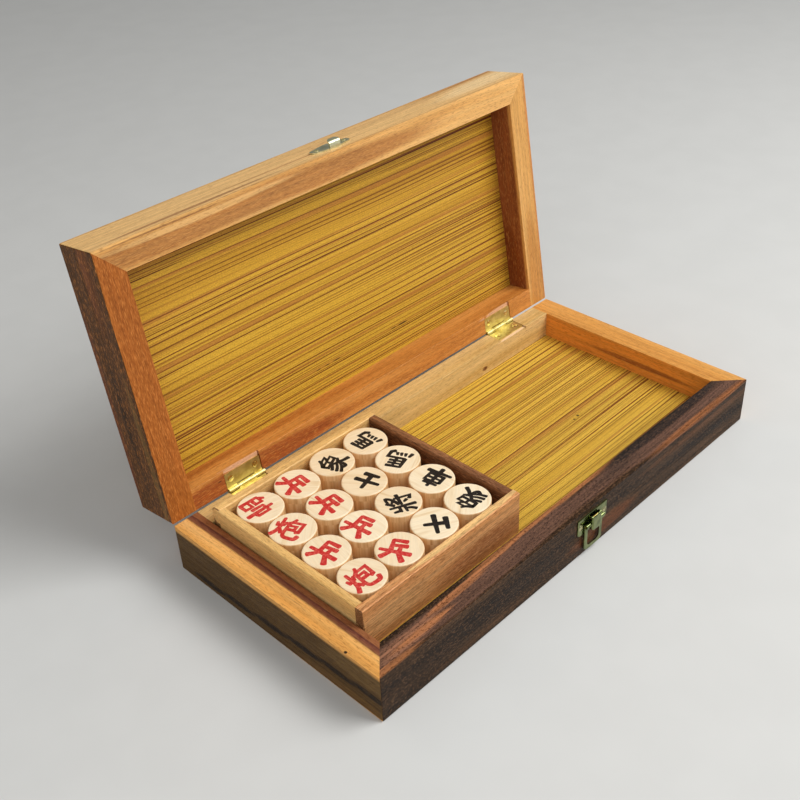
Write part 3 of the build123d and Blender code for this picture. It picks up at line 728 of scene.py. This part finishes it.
lid_left = wood(
    "lid_left_wood", "Y",
    [tone(152, 84, 32), tone(168, 96, 38), tone(182, 110, 46)],
    on_lid=True, glint=0.6, glint_tone=tone(204, 128, 62), seed=6.6, coat=0.0, gloss=0.16,
    patches=[
        # Painted shade: the lid's whole left outer face is painted dark brown for the shade it stands in.
        (tone(88, 54, 20), (0.0, LID_LEFT_FACE, -0.015), (ENDLESS, 0.0020, 0.0163), 0.1, 1.0),
        (tone(124, 92, 44), (0.03, LID_LEFT_FACE, -0.005), (0.08, 0.0020, 0.0036), 0.7, 0.7),
        (tone(136, 74, 36), (0.13, LID_LEFT_FACE, -0.010), (0.06, 0.0020, 0.0090), 0.9, 0.7),
        (tone(116, 62, 34), (0.05, LID_LEFT_FACE, -0.026), (0.12, 0.0020, 0.0036), 0.7, 0.7),
        (tone(46, 30, 10), (0.06, LID_LEFT_FACE, -0.016), (0.09, 0.0020, 0.0050), 0.8, 0.8),
    ],
)
lid_right = wood(
    "lid_right_wood", "Y",
    [tone(198, 140, 70), tone(216, 160, 86), tone(226, 172, 102)], on_lid=True, seed=7.4,
    patches=[
        # Painted shade: the lid's right inner face is painted darker for the shade it stands in.
        (tone(142, 76, 36), (0.0, RIGHT_INNER_FACE, -0.014), (ENDLESS, 0.003, 0.0137), 0.3, 1.0),
        (tone(190, 116, 54), (0.0, 0.1495, LID_RIM), (ENDLESS, 0.0025, 0.003), 0.8, 0.7),
        (tone(122, 56, 16), (0.02, RIGHT_INNER_FACE, -0.014), (0.06, 0.003, 0.0137), 0.8, 0.9),
        (tone(192, 128, 54), (0.02, 0.1430, LID_RIM), (0.07, 0.009, 0.003), 0.8, 0.8),
    ],
)
lid_back = wood(
    "lid_back_wood", "X",
    [tone(178, 104, 38), tone(204, 132, 58), tone(222, 156, 80)], on_lid=True, glint=0.4, seed=8.8,
    patches=[
        (tone(156, 74, 30), (-0.10, 0.005, LID_RIM), (0.10, 0.009, 0.003), 0.7, 0.85),
        (tone(76, 40, 20), (-0.1183, 0.0080, -0.0003), (0.0026, 0.0005, 0.001), 0.5, 0.9),
        *raw_wood_in_mortises("lid"),
    ],
)
TRAY_TONES = [tone(220, 172, 100), tone(236, 192, 122), tone(244, 206, 140)]
# The tray's left end grain: darker as end grain is, and darker still with painted shade.
end_grain_and_shade = (tone(112, 72, 40), (TRAY_LEFT_END, 0.0, 0.02), (0.0005, ENDLESS, ENDLESS), 0.2, 0.9)
tray_pale = wood("tray_pale_wood", "Y", TRAY_TONES, seed=9.4)
tray_back = wood("tray_back_wood", "X", TRAY_TONES, seed=10.4, patches=[end_grain_and_shade])
tray_front = wood(
    "tray_front_wood", "X",
    [tone(190, 122, 70), tone(214, 150, 92), tone(228, 170, 114)],
    figure=190.0, seed=11.2, streak=0.3, glint=0.5, fleck=0.6,
    patches=[
        (tone(240, 196, 130), (0.0, -0.0446, TRAY_RIM), (ENDLESS, 0.0026, 0.0006), 0.3, 1.0),
        (tone(222, 166, 108), (-0.115, TRAY_FRONT_FACE, 0.025), (0.035, 0.004, 0.012), 0.9, 0.8),
        (tone(164, 96, 56), (-0.050, TRAY_FRONT_FACE, 0.020), (0.055, 0.004, 0.014), 0.9, 0.7),
        end_grain_and_shade,
    ],
)
tray_right = wood(
    "tray_right_wood", "Y",
    [tone(84, 48, 28), tone(118, 72, 42), tone(156, 104, 66)],
    figure=160.0, streak=0.35, fleck=0.7, fleck_tone=tone(130, 104, 90), glint=0.5,
    glint_tone=tone(176, 124, 84), seed=12.9,
)
BOARD_TONES = [tone(206, 158, 88), tone(220, 176, 104), tone(230, 190, 122)]
board = wood("board_wood", "X", BOARD_TONES, seed=14.2)
lid_board = wood("lid_board_wood", "X", BOARD_TONES, on_lid=True, seed=15.2)

# ---- Materials of the CAD nodes -------------------------------------------------------
hinge_brass = brass("hinge_brass", tone(226, 214, 148), tone(202, 184, 110), 0.40)
# Painted reflection: the latch brass is tinted a dark green-grey, as if reflecting a green surface round
# it.
latch_brass = brass("latch_brass", tone(138, 146, 96), tone(98, 108, 68), 0.10)
pin_brass = brass("pin_brass", tone(206, 178, 104), tone(170, 140, 74), 0.22)
screw_brass = brass("screw_brass", tone(244, 236, 178), tone(220, 206, 140), 0.2)
# Painted light: the strike's brass is a paler grey-green than the hinges', for the light and green
# surroundings it reflects.
strike_brass = brass("strike_brass", tone(226, 226, 190), tone(196, 198, 158), 0.3)
latch_screw_brass = brass("latch_screw_brass", tone(196, 192, 150), tone(150, 146, 108), 0.15)
disc_material = disc_wood("disc_wood")

BASE_GOLDS = [tone(186, 140, 44), tone(218, 176, 66), tone(198, 158, 58)]
# The lid's lining is the same veneer as the base's; its golds are painted darker as painted shade.
SHADED_LID_GOLDS = [tone(178, 130, 36), tone(202, 157, 50), tone(184, 142, 44)]
# Dark specks in the veneer, as (centre, half sizes) along and across the grain, in metres.
BASE_SPECKS = [((0.0722, -0.0065), (0.0009, 0.0008)), ((0.0765, -0.0058), (0.0012, 0.0010))]
LID_SPECKS = [
    ((-0.0300, 0.0295), (0.0022, 0.0004)), ((-0.0235, 0.0296), (0.0026, 0.0004)),
    ((-0.0160, 0.0297), (0.0036, 0.0005)), ((0.0300, 0.0297), (0.0030, 0.0005)),
    ((0.0375, 0.0297), (0.0052, 0.0007)),
]

materials_by_name = {
    "base_rail_front": base_front,
    "base_rail_left": base_left,
    "base_rail_right": base_right,
    "base_rail_back": base_back,
    "lid_rail_front": lid_front,
    "lid_rail_left": lid_left,
    "lid_rail_right": lid_right,
    "lid_rail_back": lid_back,
    "base_lining": veneer("base_veneer", False, BASE_GOLDS, BASE_SPECKS),
    "lid_lining": veneer("lid_veneer", True, SHADED_LID_GOLDS, LID_SPECKS),
    "base_board": board,
    "lid_board": lid_board,
    "tray_wall_front": tray_front,
    "tray_wall_back": tray_back,
    "tray_wall_left": tray_pale,
    "tray_wall_right": tray_right,
    "tray_floor": tray_pale,
}
# The first start that fits a node's name counts. All other nodes are discs.
materials_by_start = {
    "hinge_screws": screw_brass,
    "latch_screws": latch_screw_brass,
    "strike_screws": screw_brass,
    "latch_lever_pin": pin_brass,
    "latch_ring_pin": pin_brass,
    "hinge_left_pin": pin_brass,
    "hinge_right_pin": pin_brass,
    "hinge": hinge_brass,
    "latch": latch_brass,
    "strike": strike_brass,
}
for name, node in frame["nodes"].items():
    starts = [start for start in materials_by_start if name.startswith(start)]
    if name in materials_by_name:
        material = materials_by_name[name]
    elif starts:
        material = materials_by_start[starts[0]]
    else:
        material = disc_material
    node.data.materials.clear()
    node.data.materials.append(material)

# ---- Floor and light ----------------------------------------------------------
FLOOR_HALF = 3
floor_material, floor_tree = new_material("floor")
floor_cloud = noise(floor_tree, coordinates(floor_tree), (30.0, 30.0, 30.0), detail=2.0)
floor_share = vary(floor_tree, floor_cloud, 0.0, 1.0)
floor_shade = blend(floor_tree, floor_share, tone(208, 208, 205), tone(206, 206, 203))
finish_surface(floor_tree, floor_shade, 0.8)

floor_mesh = bpy.data.meshes.new("floor")
floor_corners = [(x * FLOOR_HALF, y * FLOOR_HALF, 0) for x, y in ((-1, -1), (1, -1), (1, 1), (-1, 1))]
floor_mesh.from_pydata(floor_corners, [], [(0, 1, 2, 3)])
floor_mesh.materials.append(floor_material)
floor = bpy.data.objects.new("floor", floor_mesh)
bpy.context.scene.collection.objects.link(floor)

# The room dims towards the back, between these two values of a direction's Y.
DIM_FROM = -0.2
DIM_TO = 0.8
FRONT_STRENGTH = 0.50
BACK_STRENGTH = 0.30
WORLD_GREY = (0.8, 0.8, 0.8, 1)
world = bpy.data.worlds.new("world")
bpy.context.scene.world = world
world.use_nodes = True
world_tree = world.node_tree
backward = axes(world_tree, coordinates(world_tree, "Generated"))["Y"]
world_strength = fade(world_tree, backward, DIM_FROM, DIM_TO, FRONT_STRENGTH, BACK_STRENGTH)
background = world_tree.nodes["Background"]
background.inputs["Color"].default_value = WORLD_GREY
world_tree.links.new(world_strength, background.inputs["Strength"])

LAMP_TARGET = Vector((0, 0, 0.05))


def area_light(name, energy, size, place):
    """A square studio lamp, in watts and metres, that faces the object."""
    light = bpy.data.objects.new(name, bpy.data.lights.new(name, "AREA"))
    light.data.energy = energy
    light.data.size = size
    light.location = place
    light.rotation_mode = "QUATERNION"
    light.rotation_quaternion = (Vector(place) - LAMP_TARGET).to_track_quat("Z", "Y")
    bpy.context.scene.collection.objects.link(light)


area_light("key", energy=19.5, size=0.9, place=(0.6, -0.75, 1.15))
area_light("fill", energy=4.0, size=1.0, place=(-0.9, -0.5, 0.7))

bpy.context.scene.view_settings.view_transform = "Standard"
